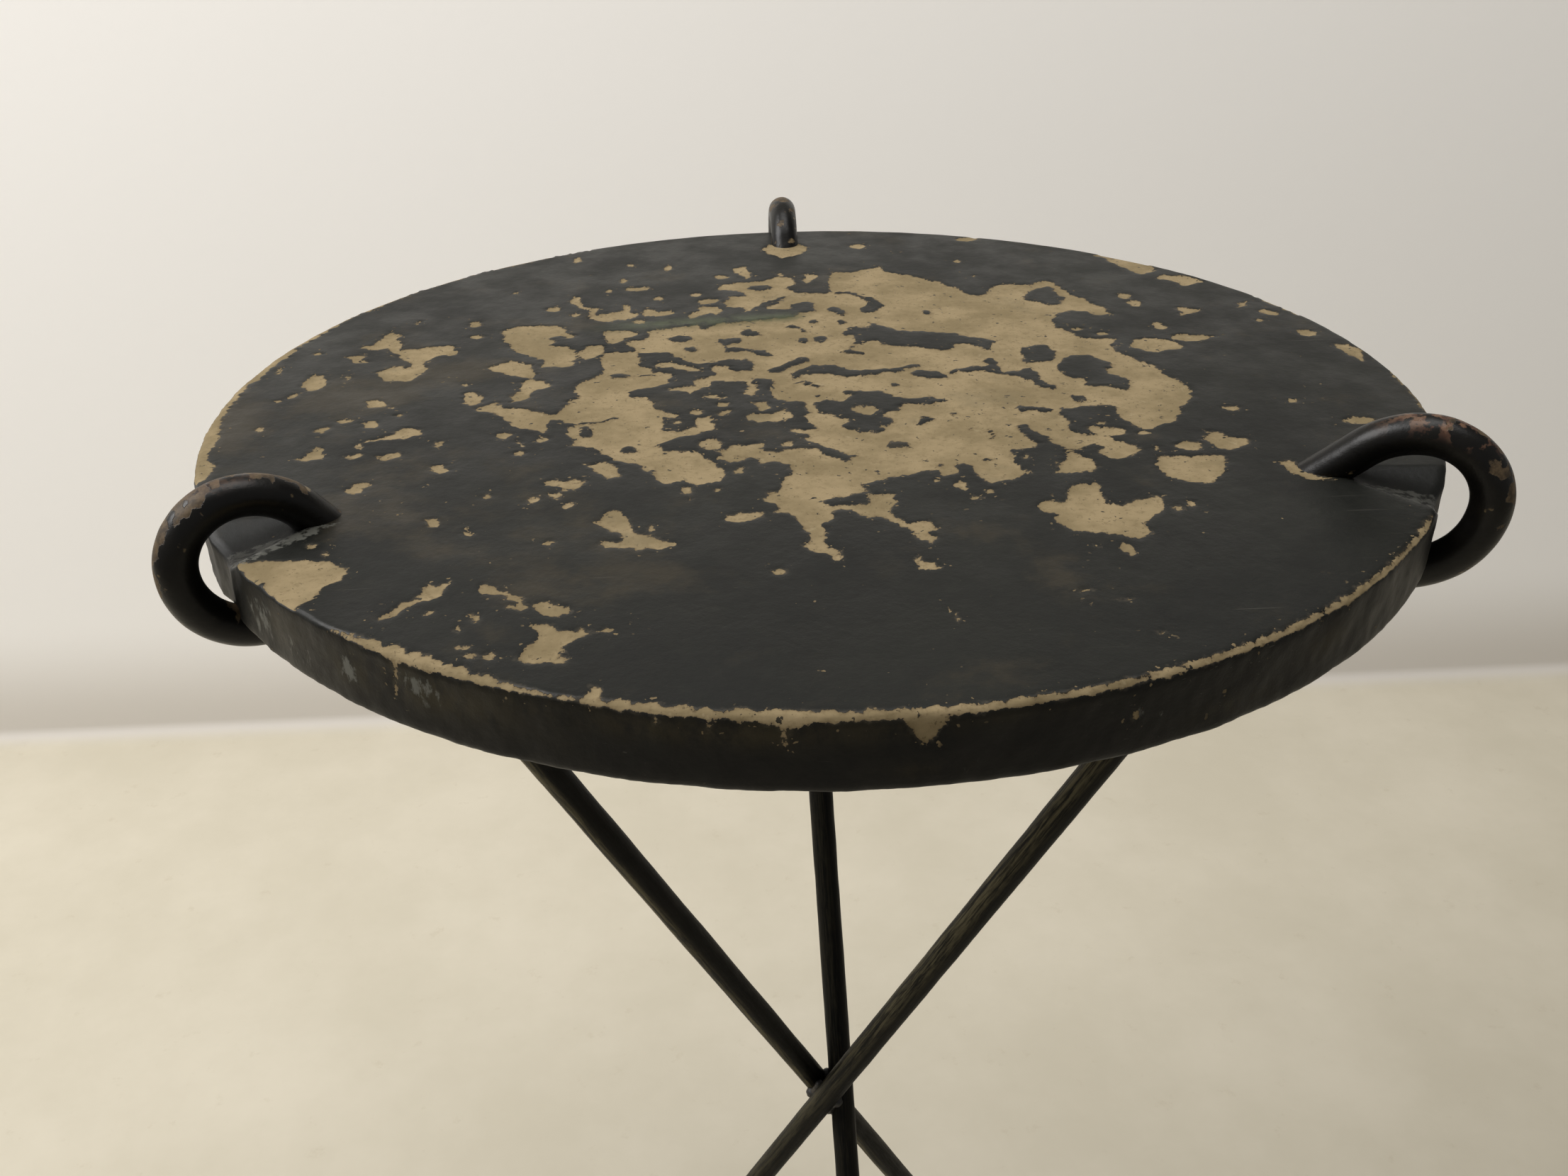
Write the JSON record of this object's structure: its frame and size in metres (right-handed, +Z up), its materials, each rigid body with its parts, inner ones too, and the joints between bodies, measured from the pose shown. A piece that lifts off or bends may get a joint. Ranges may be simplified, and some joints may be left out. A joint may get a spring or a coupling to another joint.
{
  "type": "bistro table",
  "caption": "Round table: thick painted slab held at its rim by hooked round bars, on straight rods that cross and are welded together.",
  "frame": {"origin": "on the floor, straight below the centre of the round top", "axes": "+Z up along the axis of the round top; +Y towards the ring hook at the back; +X to the right as seen from the front"},
  "size_m": [0.46, 0.4815, 0.7643],
  "materials": {
    "slab_paint": "cast stone or plaster body under a thin dark charcoal paint, chipped to beige",
    "black_iron": "black-brown paint on forged bar, worn to brown"
  },
  "bodies": {
    "root": {"table_top": "slab_paint", "ring_hook_back": "black_iron", "leg_back": "black_iron", "hook_weld_back": "black_iron", "ring_hook_left": "black_iron", "leg_left": "black_iron", "hook_weld_left": "black_iron", "ring_hook_right": "black_iron", "leg_right": "black_iron", "hook_weld_right": "black_iron", "crossing_weld": "black_iron"}
  },
  "joints": []
}
